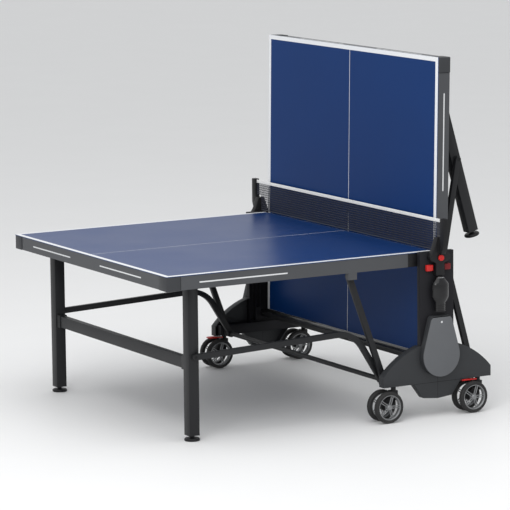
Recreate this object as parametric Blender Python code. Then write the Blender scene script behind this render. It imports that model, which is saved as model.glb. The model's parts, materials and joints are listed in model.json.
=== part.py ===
"""Folding table tennis table: two half tops on a wheeled chassis, one half down and one upright.

X runs along the table, Y across it and Z up. The net stands over the chassis. Half "a" is down for
play on the -X side and half "b" is folded upright on the +X side; "near" is -Y and "far" is +Y.
Every piece of a half is modelled once, with +X pointing outwards from the net.
"""
import math

import bmesh
import bpy
from mathutils import Matrix, Vector

# Heights that build up from the wheels: pods, beams, middle bar and the upright half's lower edge
WHEEL_RADIUS = 0.073
POD_BOTTOM = 2 * WHEEL_RADIUS + 0.014
BEAM_BOTTOM = POD_BOTTOM + 0.006
BEAM_TOP = BEAM_BOTTOM + 0.049
MIDDLE_BAR_BOTTOM = BEAM_TOP + 0.023
MIDDLE_BAR_TOP = MIDDLE_BAR_BOTTOM + 0.024
UPRIGHT_EDGE_HEIGHT = MIDDLE_BAR_TOP + 0.010

# Playing top
SURFACE_HEIGHT = 0.760
HALF_LENGTH = 1.366
TABLE_WIDTH = 1.525
HALF_WIDTH = TABLE_WIDTH / 2
NET_PLANE_GAP = 0.004
BOARD_THICKNESS = 0.019
BOARD_SKIN = 0.004
APRON_DEPTH = 0.066
APRON_WIDTH = 0.022
APRON_WALL = 0.002
CAP_REACH = 0.070
CAP_WALL = 0.002
HINGE_BLOCK_LENGTH = 0.126

# How a half folds
FOLD_ANGLE = math.radians(89.0)
UPRIGHT_EDGE_GAP = 0.008
PIN_DEPTH = 0.031
SHAFT_RADIUS = 0.007
LINK_PIVOT = Vector((0.240, 0.0, POD_BOTTOM + 0.020))
STRUT_TOP_DEPTH = 0.085
LEG_HINGE_ALONG = HALF_LENGTH - 0.170
LEG_HINGE_DEPTH = 0.060
LEG_FOLDED_LEAN = math.radians(16.0)
BRACE_BEND_UPRIGHT = Vector((0.0535, 0.0, UPRIGHT_EDGE_HEIGHT + 0.0918))
BRACE_KNEE_RADIUS = 0.150

# Leg frame and levelling feet
LEG_SIZE = 0.050
LEG_WALL = 0.002
LEG_TOP_ABOVE_HINGE = 0.020
CROSSBAR_HEIGHT = 0.345
CROSSBAR_DEPTH = 0.052
CROSSBAR_WIDTH = 0.030
SLEEVE_LENGTH = 0.030
SLEEVE_WALL = 0.004
FOOT_RADIUS = 0.035
FOOT_THICKNESS = 0.012
FOOT_CLEARANCE = 0.012
SCREW_RADIUS = 0.010
SCREW_LENGTH = 0.040

# Links, in their own lanes between the legs and the apron
LINK_THICKNESS = 0.020
LINK_DEPTH = 0.026
LINK_HUB_RADIUS = 0.018
LANE_GAP = 0.0025
BEAM_INNER_FACE = HALF_WIDTH - 0.026
STRUT_CLEARANCE = 0.004
LEG_OUTER_FACE = BEAM_INNER_FACE - STRUT_CLEARANCE - 2 * (LINK_THICKNESS + LANE_GAP)
CROSS_TUBE_RADIUS = 0.011
CROSS_TUBE_WALL = 0.002

# Uprights, one at each side of the table
SIDE_GAP = 0.0105
COLUMN_HALF_WIDTH = 0.090
COLUMN_THICKNESS = 0.0265
COLUMN_TOP = 0.762
COLUMN_SKIN = 0.003
TRACK_DEPTH = 0.0185
GUIDE_HALF_WIDTH = 0.0105
GUIDE_HALF_HEIGHT = 0.020
GUIDE_CLEARANCE = 0.001
BEAM_HALF_LENGTH = 0.275
BEAM_WALL = 0.003
MIDDLE_BAR_HALF_WIDTH = 0.025

# Plastic pods over the uprights' feet
POD_HALF_LENGTH = 0.290
POD_END_HEIGHT = POD_BOTTOM + 0.048
POD_SHOULDER = 0.100
POD_SHOULDER_HEIGHT = POD_BOTTOM + 0.173
POD_ARCH = 0.016
POD_WALL = 0.004
POD_INNER_FACE = HALF_WIDTH + 0.0035
KEEL_BOTTOM = POD_BOTTOM - 0.076
KEEL_HALF_LENGTH = 0.127

# Casters
CASTER_X = 0.2285
CASTER_Y = HALF_WIDTH + 0.0255
TRAIL = 0.044
WHEEL_WIDTH = 0.026
WHEEL_GAP = 0.038
AXLE_RADIUS = 0.006
STEM_RADIUS = 0.0115
FORK_THICKNESS = 0.033
PEDAL_LENGTH = 0.078
PEDAL_THICKNESS = 0.007

# Net
NET_HEIGHT = 0.1525
NET_BOTTOM = 0.766
NET_THICKNESS = 0.002
TAPE_WIDTH = 0.015
TAPE_THICKNESS = 0.005
POST_INNER_FACE = HALF_WIDTH + 0.0795
POST_OUTER_FACE = HALF_WIDTH + 0.1115
POST_HALF_WIDTH = 0.012
POST_FOOT_TOP = 0.835
BRACKET_DEPTH = 0.030
KNOB_RADIUS = 0.014
KNOB_DEPTH = 0.012
KNOB_HEIGHT = 0.736

# Things carried on the column faces
BUTTON_INNER = 0.030
BUTTON_OUTER = 0.064
BUTTON_DEPTH = 0.018
BUTTON_BOTTOM = 0.676
BUTTON_TOP = 0.704
BALL_TUBE_RADIUS = 0.043
BALL_TUBE_NECK = 0.017
BALL_TUBE_MOUTH = 0.027
BALL_TUBE_HALF_DEPTH = 0.026
BALL_TUBE_WALL = 0.0025
BALL_TUBE_TOP = 0.652
BALL_TUBE_BOTTOM = 0.490
BAT_BOX_RADIUS = 0.098
BAT_BOX_CENTRE_HEIGHT = 0.288
BAT_BOX_TOP = 0.470
BAT_BOX_TOP_HALF_WIDTH = 0.056
BAT_BOX_DEPTH = 0.031
BAT_BOX_WALL = 0.003
LID_THICKNESS = 0.004

# Fits
GAP = 0.0003
RUNNING_GAP = 0.0004
ROUND_STEPS = 24
ARC_STEPS = 10
KNEE_PASSES = 12

# Sizes that follow from the ones above
APRON_INNER_FACE = HALF_WIDTH - APRON_WIDTH
APRON_FACE = HALF_WIDTH - CAP_WALL - GAP
COLUMN_INNER_FACE = HALF_WIDTH + SIDE_GAP
COLUMN_FACE = COLUMN_INNER_FACE + COLUMN_THICKNESS
MOUNTING_FACE = COLUMN_FACE + GAP
POD_FACE = COLUMN_FACE + 0.0015 + POD_WALL
BRACE_LANE = LEG_OUTER_FACE + LANE_GAP + LINK_THICKNESS / 2
STRUT_LANE = BRACE_LANE + LANE_GAP + LINK_THICKNESS
NET_TOP = SURFACE_HEIGHT + NET_HEIGHT
LID_HINGE_HEIGHT = BAT_BOX_CENTRE_HEIGHT - BAT_BOX_RADIUS
LEG_HALF = LEG_SIZE / 2
LEG_CENTRE = LEG_OUTER_FACE - LEG_HALF
OUTWARDS = Vector((math.cos(FOLD_ANGLE), 0.0, math.sin(FOLD_ANGLE)))
BENEATH = Vector((math.sin(FOLD_ANGLE), 0.0, -math.cos(FOLD_ANGLE)))
FLAT_EDGE = Vector((NET_PLANE_GAP, 0.0, SURFACE_HEIGHT))
UPRIGHT_EDGE = Vector((UPRIGHT_EDGE_GAP, 0.0, UPRIGHT_EDGE_HEIGHT))


def flat_point(along, depth):
    """A point of the half top when it lies flat: along it from the net, and below its surface."""
    return FLAT_EDGE + Vector((along, 0.0, -depth))


def upright_point(along, depth):
    """The same point of the half top when it stands upright."""
    return UPRIGHT_EDGE + along * OUTWARDS + depth * BENEATH


# The pin slides straight down, so it is as far out from the net in both positions.
PIN_ALONG = (UPRIGHT_EDGE.x - FLAT_EDGE.x + PIN_DEPTH * BENEATH.x) / (1.0 - OUTWARDS.x)
PIN_FLAT = flat_point(PIN_ALONG, PIN_DEPTH)
PIN_UPRIGHT = upright_point(PIN_ALONG, PIN_DEPTH)


def equal_reach(flat_start, flat_way, upright_start, upright_way):
    """How far along both ways a point is as far from the link pivot flat as it is upright."""
    flat = flat_start - LINK_PIVOT
    upright = upright_start - LINK_PIVOT
    return (flat.length_squared - upright.length_squared) / (
        2.0 * (upright.dot(upright_way) - flat.dot(flat_way)))


STRUT_ALONG = equal_reach(flat_point(0.0, STRUT_TOP_DEPTH), Vector((1.0, 0.0, 0.0)),
                          upright_point(0.0, STRUT_TOP_DEPTH), OUTWARDS)
STRUT_TOP_FLAT = flat_point(STRUT_ALONG, STRUT_TOP_DEPTH)
STRUT_TOP_UPRIGHT = upright_point(STRUT_ALONG, STRUT_TOP_DEPTH)
LEG_HINGE_FLAT = flat_point(LEG_HINGE_ALONG, LEG_HINGE_DEPTH)
LEG_HINGE_UPRIGHT = upright_point(LEG_HINGE_ALONG, LEG_HINGE_DEPTH)
LEG_DOWN = Vector((0.0, 0.0, -1.0))
LEG_LEANING = Vector((math.sin(LEG_FOLDED_LEAN), 0.0, -math.cos(LEG_FOLDED_LEAN)))
BRACE_DROP = equal_reach(LEG_HINGE_FLAT, LEG_DOWN, LEG_HINGE_UPRIGHT, LEG_LEANING)
BRACE_TOP_FLAT = LEG_HINGE_FLAT + BRACE_DROP * LEG_DOWN
BRACE_TOP_UPRIGHT = LEG_HINGE_UPRIGHT + BRACE_DROP * LEG_LEANING


def lean(point):
    """The angle from straight up to the line from the link pivot to the point, outwards positive."""
    return math.atan2(point.x - LINK_PIVOT.x, point.z - LINK_PIVOT.z)


STRUT_SWING = lean(STRUT_TOP_FLAT) - lean(STRUT_TOP_UPRIGHT)
BRACE_SWING = lean(BRACE_TOP_FLAT) - lean(BRACE_TOP_UPRIGHT)
LEG_SWING = FOLD_ANGLE - LEG_FOLDED_LEAN


def finish(mesh_data, name):
    """Turn a bmesh into an object with its faces pointing out."""
    bmesh.ops.remove_doubles(mesh_data, verts=mesh_data.verts, dist=0.000001)
    bmesh.ops.recalc_face_normals(mesh_data, faces=mesh_data.faces)
    mesh = bpy.data.meshes.new(name)
    mesh_data.to_mesh(mesh)
    mesh_data.free()
    thing = bpy.data.objects.new(name, mesh)
    bpy.context.scene.collection.objects.link(thing)
    return thing


def box(x_range, y_range, z_range, name="tool", round_edges=0.0):
    low = Vector((min(x_range), min(y_range), min(z_range)))
    high = Vector((max(x_range), max(y_range), max(z_range)))
    shape = bmesh.new()
    place = Matrix.Translation((low + high) / 2) @ Matrix.Diagonal(high - low).to_4x4()
    bmesh.ops.create_cube(shape, size=1.0, matrix=place)
    if round_edges:
        bmesh.ops.bevel(shape, geom=shape.edges[:], offset=round_edges, affect="EDGES",
                        segments=2, profile=0.5, material=-1)
    return finish(shape, name)


def prism(outline, y_range, name="tool"):
    """An outline in X and Z, carried across Y."""
    shape = bmesh.new()
    ring = [shape.verts.new((x, min(y_range), z)) for x, z in outline]
    face = shape.faces.new(ring)
    grown = bmesh.ops.extrude_face_region(shape, geom=[face])
    moved = [item for item in grown["geom"] if isinstance(item, bmesh.types.BMVert)]
    bmesh.ops.translate(shape, verts=moved, vec=(0.0, max(y_range) - min(y_range), 0.0))
    return finish(shape, name)


def plan_prism(outline, z_range, name="tool"):
    """An outline in X and Y, carried up Z."""
    shape = bmesh.new()
    ring = [shape.verts.new((x, y, min(z_range))) for x, y in outline]
    face = shape.faces.new(ring)
    grown = bmesh.ops.extrude_face_region(shape, geom=[face])
    moved = [item for item in grown["geom"] if isinstance(item, bmesh.types.BMVert)]
    bmesh.ops.translate(shape, verts=moved, vec=(0.0, 0.0, max(z_range) - min(z_range)))
    return finish(shape, name)


def rod(start, end, radius, name="tool", steps=ROUND_STEPS):
    start, end = Vector(start), Vector(end)
    way = end - start
    turn = way.to_track_quat("Z", "Y").to_matrix().to_4x4()
    shape = bmesh.new()
    bmesh.ops.create_cone(shape, cap_ends=True, segments=steps, radius1=radius, radius2=radius,
                          depth=way.length, matrix=Matrix.Translation((start + end) / 2) @ turn)
    return finish(shape, name)


def turned(profile, name="tool", closed=False, steps=ROUND_STEPS):
    """A profile of radius and height, turned once about Z."""
    shape = bmesh.new()
    points = [shape.verts.new((radius, 0.0, height)) for radius, height in profile]
    pairs = list(zip(points, points[1:]))
    if closed:
        pairs.append((points[-1], points[0]))
    edges = [shape.edges.new(pair) for pair in pairs]
    bmesh.ops.spin(shape, geom=points + edges, axis=(0.0, 0.0, 1.0), cent=(0.0, 0.0, 0.0),
                   angle=2.0 * math.pi, steps=steps, use_merge=True)
    bmesh.ops.remove_doubles(shape, verts=shape.verts, dist=0.000001)
    return finish(shape, name)


def combine(thing, tools, operation):
    """Join tools to a piece, or cut them out of it, one after another."""
    for tool in tools:
        step = thing.modifiers.new(operation.lower(), "BOOLEAN")
        step.operation = operation
        step.solver = "EXACT"
        step.object = tool
        depsgraph = bpy.context.evaluated_depsgraph_get()
        mesh = bpy.data.meshes.new_from_object(thing.evaluated_get(depsgraph))
        thing.modifiers.remove(step)
        thing.data = mesh
        bpy.data.objects.remove(tool)
    return thing


def join(thing, *tools):
    return combine(thing, tools, "UNION")


def cut(thing, *tools):
    return combine(thing, tools, "DIFFERENCE")


def turn_mesh(thing, matrix):
    thing.data.transform(matrix)
    return thing


def paint(name, colour, roughness, metallic=0.0):
    """A material with one colour, roughness and metallic value."""
    finish_coat = bpy.data.materials.new(name)
    finish_coat.use_nodes = True
    shader = finish_coat.node_tree.nodes["Principled BSDF"]
    shader.inputs["Base Color"].default_value = (*colour, 1.0)
    shader.inputs["Roughness"].default_value = roughness
    shader.inputs["Metallic"].default_value = metallic
    return finish_coat


def place(thing, name, material, parent, location=(0.0, 0.0, 0.0)):
    """Name a finished piece, give it its material and hang it on its parent."""
    thing.name = name
    thing.data.name = name
    thing.data.materials.clear()
    thing.data.materials.append(material)
    thing.data.shade_smooth()
    thing.data.set_sharp_from_angle(angle=math.radians(32.0))
    thing.parent = parent
    thing.location = location
    return thing


def pivot(name, parent, location, turn=0.0):
    """An empty on a joint's axis, turned about Y."""
    empty = bpy.data.objects.new(name, None)
    bpy.context.scene.collection.objects.link(empty)
    empty.parent = parent
    empty.location = location
    empty.rotation_euler = (0.0, turn, 0.0)
    return empty


def across(side, inner, outer):
    """A stretch of Y on one side of the table, from its two distances off the centre line."""
    return (side * inner, side * outer)


def round_end(centre, radius, start, stop, steps=ARC_STEPS):
    """Points of an arc in X and Z, between two angles in degrees."""
    points = []
    for step in range(steps + 1):
        angle = math.radians(start + (stop - start) * step / steps)
        points.append((centre[0] + radius * math.cos(angle), centre[1] + radius * math.sin(angle)))
    return points


# ---------------------------------------------------------------- one half of the table

def make_board():
    skin = box((0.0, HALF_LENGTH), (-HALF_WIDTH, HALF_WIDTH), (0.0, -BOARD_SKIN))
    core_half = APRON_INNER_FACE - GAP
    core = box((0.0, HALF_LENGTH - APRON_WIDTH - GAP), (-core_half, core_half),
               (-BOARD_SKIN / 2, -BOARD_THICKNESS))
    return join(skin, core)


def apron_loop(side_inner, side_outer, end_inner, end_outer, start):
    """A U in plan: open at the net and closed at the outer end."""
    return [(start, -side_outer), (end_outer, -side_outer), (end_outer, side_outer),
            (start, side_outer), (start, side_inner), (end_inner, side_inner),
            (end_inner, -side_inner), (start, -side_inner)]


def make_apron():
    start = HINGE_BLOCK_LENGTH + GAP
    end = HALF_LENGTH - CAP_WALL - GAP
    end_inner = HALF_LENGTH - APRON_WIDTH
    top = -BOARD_SKIN - GAP
    spare = 0.005
    apron = plan_prism(apron_loop(APRON_INNER_FACE, APRON_FACE, end_inner, end, start),
                       (top, -APRON_DEPTH))
    hollow = plan_prism(apron_loop(APRON_INNER_FACE - spare, APRON_FACE - APRON_WALL,
                                   end_inner - spare, end - APRON_WALL, start - spare),
                        (top + spare, -APRON_DEPTH + APRON_WALL))
    cut(apron, hollow)
    wall_middle = APRON_FACE - APRON_WALL / 2
    under_board = -BOARD_THICKNESS - CAP_WALL
    for side in (-1, 1):
        leg_block = box((LEG_HINGE_ALONG - 0.030, LEG_HINGE_ALONG + 0.030),
                        across(side, APRON_INNER_FACE, wall_middle),
                        (under_board, -APRON_DEPTH + APRON_WALL / 2))
        strut_outer = STRUT_LANE + LINK_THICKNESS / 2
        strut_plate = box((STRUT_ALONG - 0.022, STRUT_ALONG + 0.022),
                          across(side, strut_outer + LANE_GAP, wall_middle),
                          (under_board, -STRUT_TOP_DEPTH - LINK_DEPTH / 2))
        join(apron, leg_block, strut_plate)
    return apron


def make_corner_cap(side):
    top = -BOARD_SKIN - GAP
    inner = HALF_LENGTH - CAP_WALL
    inner_side = HALF_WIDTH - CAP_WALL
    corner = 0.006
    outline = [(HALF_LENGTH - CAP_REACH, side * HALF_WIDTH),
               (HALF_LENGTH - corner, side * HALF_WIDTH),
               (HALF_LENGTH - corner * 0.3, side * (HALF_WIDTH - corner * 0.3)),
               (HALF_LENGTH, side * (HALF_WIDTH - corner)),
               (HALF_LENGTH, side * (HALF_WIDTH - CAP_REACH)),
               (inner, side * (HALF_WIDTH - CAP_REACH)),
               (inner, side * inner_side),
               (HALF_LENGTH - CAP_REACH, side * inner_side)]
    return plan_prism(outline, (top, -APRON_DEPTH - CAP_WALL / 2))


def make_hinge_block(side):
    block = box((0.0, HINGE_BLOCK_LENGTH), across(side, APRON_INNER_FACE, APRON_FACE),
                (-BOARD_SKIN - GAP, -APRON_DEPTH))
    bore = rod((PIN_ALONG, side * (APRON_INNER_FACE - 0.01), -PIN_DEPTH),
               (PIN_ALONG, side * (HALF_WIDTH + 0.01), -PIN_DEPTH), SHAFT_RADIUS + RUNNING_GAP)
    return cut(block, bore)


def make_carriage():
    """The pivot shaft, with a guide block for each column's track."""
    guide_start = COLUMN_INNER_FACE + GUIDE_CLEARANCE
    guide_end = COLUMN_INNER_FACE + TRACK_DEPTH - GUIDE_CLEARANCE
    shaft = rod((0.0, -guide_end + 0.002, 0.0), (0.0, guide_end - 0.002, 0.0), SHAFT_RADIUS)
    for side in (-1, 1):
        guide = box((-GUIDE_HALF_WIDTH, GUIDE_HALF_WIDTH), across(side, guide_start, guide_end),
                    (-GUIDE_HALF_HEIGHT, GUIDE_HALF_HEIGHT), round_edges=0.002)
        join(shaft, guide)
    return shaft


def make_leg_frame():
    """Two legs and their crossbar, welded, with the hinge at the origin."""
    hinge_height = LEG_HINGE_FLAT.z
    bottom = FOOT_THICKNESS + FOOT_CLEARANCE - hinge_height
    bar_middle = CROSSBAR_HEIGHT - hinge_height
    leg_inner = LEG_OUTER_FACE - LEG_SIZE
    plug_height = bottom + SCREW_LENGTH + 0.010
    frame = box((-CROSSBAR_WIDTH / 2, CROSSBAR_WIDTH / 2), (-leg_inner - 0.001, leg_inner + 0.001),
                (bar_middle - CROSSBAR_DEPTH / 2, bar_middle + CROSSBAR_DEPTH / 2))
    sleeve_half = CROSSBAR_WIDTH / 2 + SLEEVE_WALL
    sleeve_half_depth = CROSSBAR_DEPTH / 2 + SLEEVE_WALL
    for side in (-1, 1):
        leg = box((-LEG_HALF, LEG_HALF), across(side, leg_inner, LEG_OUTER_FACE),
                  (bottom, LEG_TOP_ABOVE_HINGE))
        sleeve = box((-sleeve_half, sleeve_half),
                     across(side, leg_inner - SLEEVE_LENGTH, leg_inner + 0.001),
                     (bar_middle - sleeve_half_depth, bar_middle + sleeve_half_depth))
        stub = rod((0.0, side * (LEG_OUTER_FACE - 0.001), 0.0),
                   (0.0, side * (APRON_INNER_FACE - GAP), 0.0), 0.008)
        join(frame, leg, sleeve, stub)
    bar_hollow = box((-CROSSBAR_WIDTH / 2 + LEG_WALL, CROSSBAR_WIDTH / 2 - LEG_WALL),
                     (-LEG_CENTRE, LEG_CENTRE),
                     (bar_middle - CROSSBAR_DEPTH / 2 + LEG_WALL, bar_middle + CROSSBAR_DEPTH / 2 - LEG_WALL))
    cut(frame, bar_hollow)
    for side in (-1, 1):
        hollow = box((-LEG_HALF + LEG_WALL, LEG_HALF - LEG_WALL),
                     across(side, leg_inner + LEG_WALL, LEG_OUTER_FACE - LEG_WALL),
                     (plug_height, LEG_TOP_ABOVE_HINGE + 0.010))
        screw_hole = rod((0.0, side * LEG_CENTRE, bottom - 0.010),
                         (0.0, side * LEG_CENTRE, bottom + SCREW_LENGTH + 0.002),
                         SCREW_RADIUS + RUNNING_GAP)
        cut(frame, hollow, screw_hole)
    return frame


def make_foot():
    """A levelling foot with its screw, standing on the floor at the origin."""
    edge = 0.002
    top = FOOT_THICKNESS + FOOT_CLEARANCE + SCREW_LENGTH
    return turned([(0.0, 0.0), (FOOT_RADIUS - edge, 0.0), (FOOT_RADIUS, edge),
                   (FOOT_RADIUS, FOOT_THICKNESS - edge * 2), (FOOT_RADIUS - edge * 2, FOOT_THICKNESS),
                   (SCREW_RADIUS, FOOT_THICKNESS + edge), (SCREW_RADIUS, top), (0.0, top)])


def bar_between(start, end, lane, side):
    """A straight flat-sided bar in a lane, from one point of X and Z to another."""
    way = end - start
    middle = (start + end) / 2
    bar = box((-LINK_DEPTH / 2, LINK_DEPTH / 2),
              (lane - LINK_THICKNESS / 2, lane + LINK_THICKNESS / 2),
              (-way.length / 2, way.length / 2))
    turn = Matrix.Translation((middle.x, 0.0, middle.z)) @ Matrix.Rotation(
        math.atan2(way.x, way.z), 4, "Y")
    turn_mesh(bar, turn)
    if side < 0:
        turn_mesh(bar, Matrix.Diagonal((1.0, -1.0, 1.0, 1.0)))
        bar.data.flip_normals()
    return bar


def lane_hub(point, lane, side, radius):
    return rod((point.x, side * (lane - LINK_THICKNESS / 2), point.z),
               (point.x, side * (lane + LINK_THICKNESS / 2), point.z), radius)


def cut_pivot_bore(link, lane, side):
    bore = rod((0.0, side * (lane - LINK_THICKNESS), 0.0), (0.0, side * (lane + LINK_THICKNESS), 0.0),
               CROSS_TUBE_RADIUS + RUNNING_GAP)
    return cut(link, bore)


def make_strut(side):
    """From the link pivot, at the origin, up to the plate under the apron."""
    top = STRUT_TOP_FLAT - LINK_PIVOT
    strut = bar_between(Vector((0.0, 0.0, 0.0)), top, STRUT_LANE, side)
    join(strut, lane_hub(Vector((0.0, 0.0, 0.0)), STRUT_LANE, side, LINK_HUB_RADIUS),
         lane_hub(top, STRUT_LANE, side, LINK_DEPTH / 2))
    return cut_pivot_bore(strut, STRUT_LANE, side)


def brace_path():
    """The brace's centre line, from the link pivot round its knee to the leg.

    The middle of the bend is what must clear the upright board, so the knee is found from it.
    """
    top = BRACE_TOP_FLAT - LINK_PIVOT
    bend = Matrix.Rotation(BRACE_SWING, 3, "Y") @ (BRACE_BEND_UPRIGHT - LINK_PIVOT)
    knee = bend
    for _ in range(KNEE_PASSES):
        down = -knee.normalized()
        out = (top - knee).normalized()
        turn = math.pi - down.angle(out)
        inwards = (down + out).normalized()
        knee = bend - inwards * BRACE_KNEE_RADIUS * (1.0 / math.cos(turn / 2) - 1.0)
    reach = BRACE_KNEE_RADIUS * math.tan(turn / 2)
    centre = knee + inwards * (BRACE_KNEE_RADIUS / math.cos(turn / 2))
    start = knee + down * reach - centre
    points = [Vector((0.0, 0.0, 0.0))]
    for step in range(ARC_STEPS + 1):
        angle = turn * step / ARC_STEPS
        points.append(centre + Matrix.Rotation(angle, 3, "Y") @ start)
    points.append(top)
    return points


def make_brace(side):
    """The curved brace, from the link pivot at the origin to the leg."""
    path = brace_path()
    upper, lower = [], []
    for index, point in enumerate(path):
        before = path[max(index - 1, 0)]
        after = path[min(index + 1, len(path) - 1)]
        way = (after - before).normalized()
        offset = Vector((-way.z, 0.0, way.x)) * LINK_DEPTH / 2
        upper.append(((point + offset).x, (point + offset).z))
        lower.append(((point - offset).x, (point - offset).z))
    lane = across(side, BRACE_LANE - LINK_THICKNESS / 2, BRACE_LANE + LINK_THICKNESS / 2)
    brace = prism(upper + lower[::-1], lane)
    join(brace, lane_hub(path[0], BRACE_LANE, side, LINK_HUB_RADIUS),
         lane_hub(path[-1], BRACE_LANE, side, LINK_DEPTH / 2))
    return cut_pivot_bore(brace, BRACE_LANE, side)


def build_half(letter, direction, upright, chassis, coats):
    """One half: its top, carriage, legs and links, folded upright or down for play."""
    half = pivot(f"half_{letter}", chassis, (0.0, 0.0, 0.0))
    half.rotation_euler = (0.0, 0.0, math.pi if direction < 0 else 0.0)
    pin = PIN_UPRIGHT if upright else PIN_FLAT
    carriage = pivot(f"carriage_pivot_{letter}", half, pin)
    top = pivot(f"top_pivot_{letter}", carriage, (0.0, 0.0, 0.0), -FOLD_ANGLE if upright else 0.0)
    edge = (-PIN_ALONG, 0.0, PIN_DEPTH)
    place(make_carriage(), f"carriage_{letter}", coats["steel"], carriage)
    place(make_board(), f"board_{letter}", coats["board"], top, edge)
    place(make_apron(), f"apron_{letter}", coats["apron"], top, edge)
    leg_place = (LEG_HINGE_ALONG - PIN_ALONG, 0.0, PIN_DEPTH - LEG_HINGE_DEPTH)
    leg = pivot(f"leg_pivot_{letter}", top, leg_place, LEG_SWING if upright else 0.0)
    place(make_leg_frame(), f"leg_frame_{letter}", coats["frame"], leg)
    strut = pivot(f"strut_pivot_{letter}", half, LINK_PIVOT, -STRUT_SWING if upright else 0.0)
    brace = pivot(f"brace_pivot_{letter}", half, LINK_PIVOT, -BRACE_SWING if upright else 0.0)
    for word, world_side in (("near", -1), ("far", 1)):
        side = world_side * direction
        place(make_corner_cap(side), f"corner_cap_{word}_{letter}", coats["cap"], top, edge)
        place(make_hinge_block(side), f"hinge_block_{word}_{letter}", coats["plastic"], top, edge)
        place(make_strut(side), f"strut_{word}_{letter}", coats["frame"], strut)
        place(make_brace(side), f"brace_{word}_{letter}", coats["frame"], brace)
        place(make_foot(), f"foot_{word}_{letter}", coats["rubber"], leg,
              (0.0, side * LEG_CENTRE, -LEG_HINGE_FLAT.z))


# ---------------------------------------------------------------- chassis

def make_upright(side):
    """A steel foot beam with the column on it, and a track in the column for each half."""
    beam = box((-BEAM_HALF_LENGTH, BEAM_HALF_LENGTH), across(side, BEAM_INNER_FACE, COLUMN_FACE),
               (BEAM_BOTTOM, BEAM_TOP))
    trough = box((-BEAM_HALF_LENGTH + BEAM_WALL, BEAM_HALF_LENGTH - BEAM_WALL),
                 across(side, BEAM_INNER_FACE + BEAM_WALL, COLUMN_FACE - BEAM_WALL),
                 (BEAM_BOTTOM + BEAM_WALL, BEAM_TOP + 0.010))
    cut(beam, trough)
    column = box((-COLUMN_HALF_WIDTH, COLUMN_HALF_WIDTH), across(side, COLUMN_INNER_FACE, COLUMN_FACE),
                 (BEAM_BOTTOM + BEAM_WALL / 2, COLUMN_TOP))
    upright = join(column, beam)
    track_half = GUIDE_HALF_WIDTH + GUIDE_CLEARANCE
    track_end = GUIDE_HALF_HEIGHT + 0.004
    spare = 0.005
    for direction in (-1, 1):
        track = box((direction * (PIN_FLAT.x - track_half), direction * (PIN_FLAT.x + track_half)),
                    across(side, COLUMN_INNER_FACE - spare, COLUMN_INNER_FACE + TRACK_DEPTH),
                    (PIN_UPRIGHT.z - track_end, PIN_FLAT.z + track_end))
        pocket = box((direction * (PIN_FLAT.x + track_half + COLUMN_SKIN),
                      direction * (COLUMN_HALF_WIDTH - COLUMN_SKIN)),
                     across(side, COLUMN_INNER_FACE - spare, COLUMN_FACE - COLUMN_SKIN),
                     (BEAM_TOP + COLUMN_SKIN, COLUMN_TOP - COLUMN_SKIN))
        cut(upright, track, pocket)
    middle_half = PIN_FLAT.x - track_half - COLUMN_SKIN
    middle = box((-middle_half, middle_half),
                 across(side, COLUMN_INNER_FACE - spare, COLUMN_FACE - COLUMN_SKIN),
                 (MIDDLE_BAR_TOP + COLUMN_SKIN, COLUMN_TOP - COLUMN_SKIN))
    return cut(upright, middle)


def pod_outline(inset=0.0):
    """Half of the pod's outline in X and Z, mirrored to make the whole."""
    end = POD_HALF_LENGTH - inset
    start = Vector((POD_SHOULDER, POD_SHOULDER_HEIGHT - inset))
    stop = Vector((end, POD_END_HEIGHT - inset))
    chord = stop - start
    normal = Vector((-chord.y, chord.x)).normalized()
    right = [(KEEL_HALF_LENGTH - 0.050 - inset, KEEL_BOTTOM + 0.008 + inset),
             (KEEL_HALF_LENGTH - inset, POD_BOTTOM + inset), (end, POD_BOTTOM + inset)]
    for step in range(ARC_STEPS + 1):
        part = 1.0 - step / ARC_STEPS
        point = start + chord * part + normal * POD_ARCH * 4.0 * part * (1.0 - part)
        right.append((point.x, point.y))
    left = [(-x, z) for x, z in reversed(right)]
    return [(0.0, KEEL_BOTTOM + inset)] + right + left


def make_pod(side):
    pod = prism(pod_outline(), across(side, POD_INNER_FACE, POD_FACE))
    inside = prism(pod_outline(POD_WALL), across(side, POD_INNER_FACE - 0.01, POD_FACE - POD_WALL))
    column_way = box((-COLUMN_HALF_WIDTH - GAP, COLUMN_HALF_WIDTH + GAP),
                     across(side, POD_INNER_FACE - 0.01, POD_FACE - POD_WALL),
                     (POD_END_HEIGHT, POD_SHOULDER_HEIGHT + 0.01))
    cut(pod, inside, column_way)
    for direction in (-1, 1):
        stem_way = rod((direction * CASTER_X, side * CASTER_Y, POD_BOTTOM - 0.01),
                       (direction * CASTER_X, side * CASTER_Y, POD_BOTTOM + 0.01), STEM_RADIUS + 0.002)
        cut(pod, stem_way)
    return pod


def make_cross_tube(direction):
    end = BEAM_INNER_FACE - GAP
    x, z = direction * LINK_PIVOT.x, LINK_PIVOT.z
    tube = rod((x, -end, z), (x, end, z), CROSS_TUBE_RADIUS)
    return cut(tube, rod((x, -end - 0.01, z), (x, end + 0.01, z), CROSS_TUBE_RADIUS - CROSS_TUBE_WALL))


def make_middle_bar():
    end = COLUMN_INNER_FACE - GAP
    bar = box((-MIDDLE_BAR_HALF_WIDTH, MIDDLE_BAR_HALF_WIDTH), (-end, end),
              (MIDDLE_BAR_BOTTOM, MIDDLE_BAR_TOP))
    hollow = box((-MIDDLE_BAR_HALF_WIDTH + LEG_WALL, MIDDLE_BAR_HALF_WIDTH - LEG_WALL),
                 (-end - 0.01, end + 0.01),
                 (MIDDLE_BAR_BOTTOM + LEG_WALL, MIDDLE_BAR_TOP - LEG_WALL))
    return cut(bar, hollow)


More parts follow.
